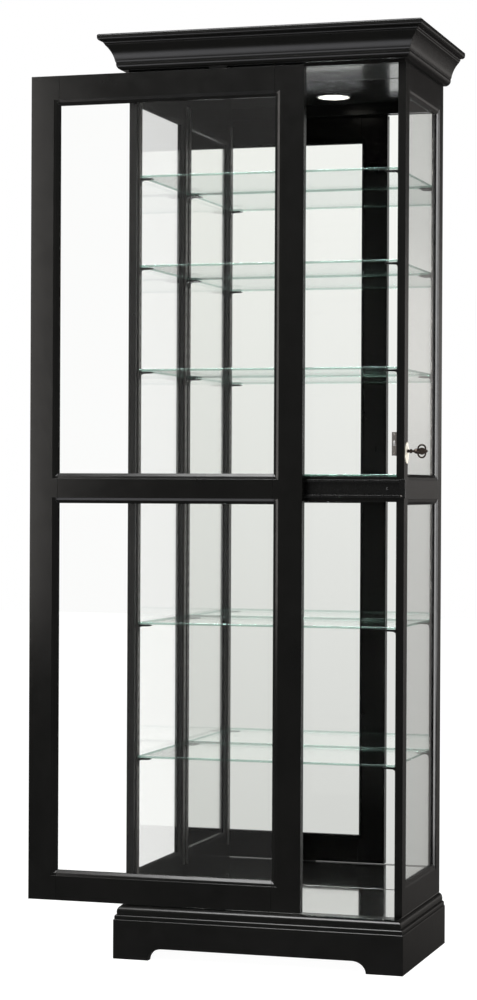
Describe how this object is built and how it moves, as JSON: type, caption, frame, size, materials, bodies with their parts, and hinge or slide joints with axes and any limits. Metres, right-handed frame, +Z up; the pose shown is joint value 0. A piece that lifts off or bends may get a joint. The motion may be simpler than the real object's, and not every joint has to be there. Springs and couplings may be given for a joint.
{
  "type": "glass display showcase",
  "caption": "Tall black glass display cabinet with a mirrored back, glass shelves, crown and plinth, a ceiling light and a framed glass door that slides sideways.",
  "frame": {"origin": "on the floor, under the middle of the base's back rail and in line with the mirror's front face", "axes": "+X to the right seen from the front, +Y towards the back, +Z up; the door faces -Y"},
  "size_m": [0.8845, 0.44, 2],
  "materials": {
    "satin_black_wood": "satin black lacquer on wood",
    "gloss_black_panel": "glossy black laminate",
    "back_board": "plain hardboard",
    "mirror_silver": "silvered mirror",
    "clear_pane": "clear float glass",
    "shelf_glass": "clear float glass with green edges",
    "black_steel": "black painted steel",
    "dark_steel": "dark plated steel",
    "grey_steel": "zinc plated steel",
    "polished_brass": "polished brass",
    "dark_bronze": "dark bronze",
    "black_nylon": "moulded nylon",
    "lamp_lens": "frosted lens, lit"
  },
  "bodies": {
    "cabinet": {"base_front_board": "satin_black_wood", "base_left_board": "satin_black_wood", "base_right_board": "satin_black_wood", "base_back_rail": "satin_black_wood", "base_moulding_front": "satin_black_wood", "base_moulding_left": "satin_black_wood", "base_moulding_right": "satin_black_wood", "floor_panel": "gloss_black_panel", "front_header": "satin_black_wood", "front_mid_rail": "satin_black_wood", "top_panel": "gloss_black_panel", "mirror": "mirror_silver", "back_panel": "back_board", "side_left_front_stile": "satin_black_wood", "side_left_back_stile": "satin_black_wood", "side_left_bottom_rail": "satin_black_wood", "side_left_mid_rail": "satin_black_wood", "side_left_top_rail": "satin_black_wood", "side_left_pane_lower": "clear_pane", "side_left_pane_upper": "clear_pane", "side_right_front_stile": "satin_black_wood", "side_right_back_stile": "satin_black_wood", "side_right_bottom_rail": "satin_black_wood", "side_right_mid_rail": "satin_black_wood", "side_right_top_rail": "satin_black_wood", "side_right_pane_lower": "clear_pane", "side_right_pane_upper": "clear_pane", "crown_front": "satin_black_wood", "crown_left": "satin_black_wood", "crown_right": "satin_black_wood", "shelf_bottom": "shelf_glass", "shelf_lower": "shelf_glass", "shelf_middle": "shelf_glass", "shelf_upper": "shelf_glass", "shelf_high": "shelf_glass", "shelf_top": "shelf_glass", "shelf_standard_left_front": "dark_steel", "shelf_standard_left_back": "dark_steel", "shelf_standard_right_back": "dark_steel", "shelf_standard_right_front_lower": "dark_steel", "shelf_standard_right_front_upper": "dark_steel", "slide_track": "black_steel", "slide_end_stop": "black_steel", "door_guide_bottom": "black_nylon", "door_guide_top": "black_nylon", "lock_case": "dark_steel", "lock_escutcheon": "polished_brass", "lamp_housing": "black_steel", "lamp_lens": "lamp_lens"},
    "door": {"door_left_stile": "satin_black_wood", "door_right_stile": "satin_black_wood", "door_bottom_rail": "satin_black_wood", "door_mid_rail": "satin_black_wood", "door_top_rail": "satin_black_wood", "door_pane_lower": "clear_pane", "door_pane_upper": "clear_pane", "slide_door_runner": "grey_steel"},
    "slide_carriage": {"slide_ball_carriage": "grey_steel"},
    "key": {"lock_key": "dark_bronze"},
    "bolt": {"lock_bolt": "grey_steel"}
  },
  "joints": [
    {"name": "door_slide", "type": "slide", "parent": "cabinet", "child": "door", "axis": [1, 0, 0], "range_m": [-0.093, 0.216]},
    {"name": "carriage_slide", "type": "slide", "parent": "cabinet", "child": "slide_carriage", "axis": [1, 0, 0], "range_m": [-0.0465, 0.108]},
    {"name": "key_turn", "type": "hinge", "parent": "cabinet", "child": "key", "pos_m": [0.3, -0.336, 1.101], "axis": [1, 0, 0], "range_deg": [0, 90]},
    {"name": "bolt_slide", "type": "slide", "parent": "cabinet", "child": "bolt", "axis": [0, -1, 0], "range_m": [0, 0.018]}
  ],
  "couplings": [
    {"joint": "carriage_slide", "follows": "door_slide", "ratio": 0.5},
    {"joint": "bolt_slide", "follows": "key_turn", "m_per_rad": 0.01145}
  ]
}
